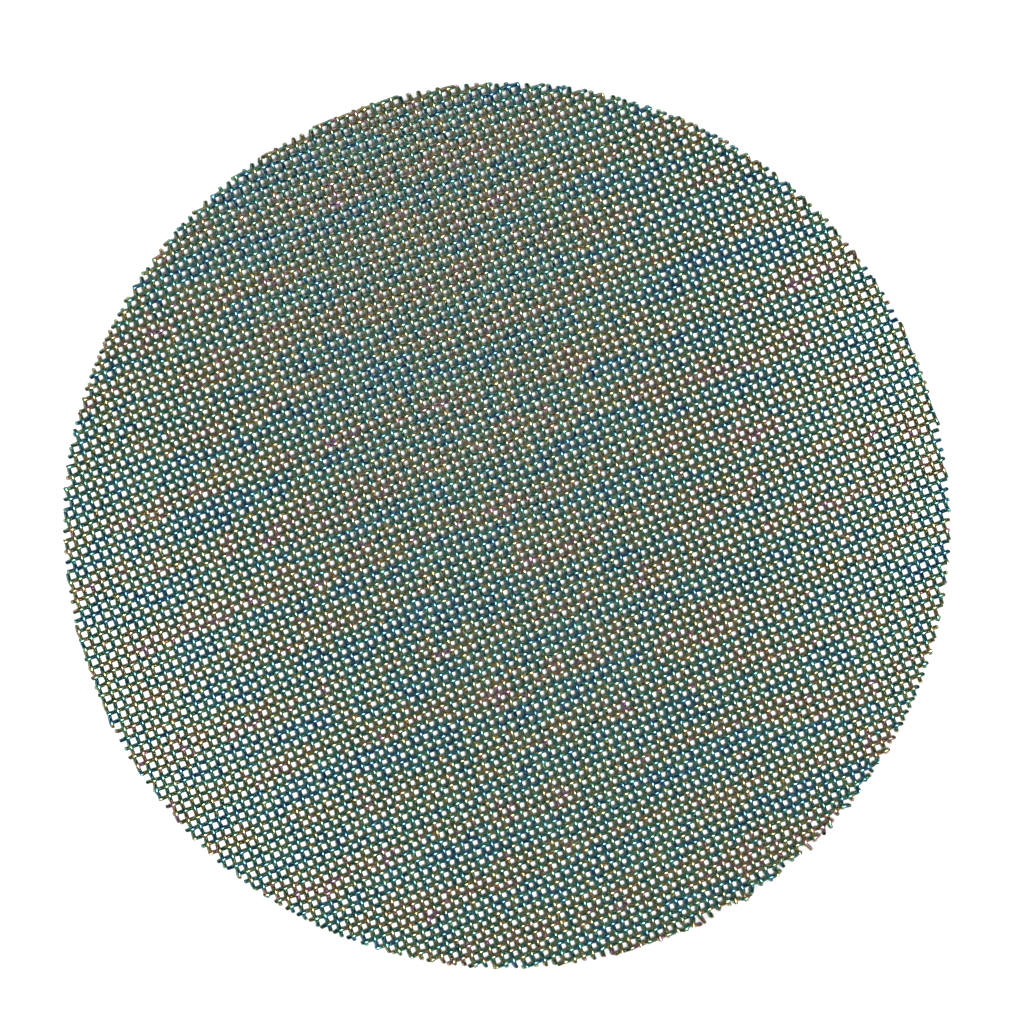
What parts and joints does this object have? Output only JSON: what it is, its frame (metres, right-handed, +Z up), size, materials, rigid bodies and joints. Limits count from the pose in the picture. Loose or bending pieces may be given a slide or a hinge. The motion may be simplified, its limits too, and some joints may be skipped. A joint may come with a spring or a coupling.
{
  "type": "wire mesh filter disc",
  "caption": "Thin round disc punched from plain-woven steel wire cloth, with a bare cut rim of wire ends, laid in a holder to strain a fluid.",
  "frame": {"origin": "under the middle of the disc, on the surface it lies on", "axes": "+Z up, square to the cloth; +X along the weft wires; +Y along the warp wires"},
  "size_m": [0.038, 0.038, 0.0003],
  "materials": {
    "wire": "drawn steel wire, dull grey-green with bright knuckles"
  },
  "bodies": {
    "root": {"mesh_disc": "wire"}
  },
  "joints": []
}
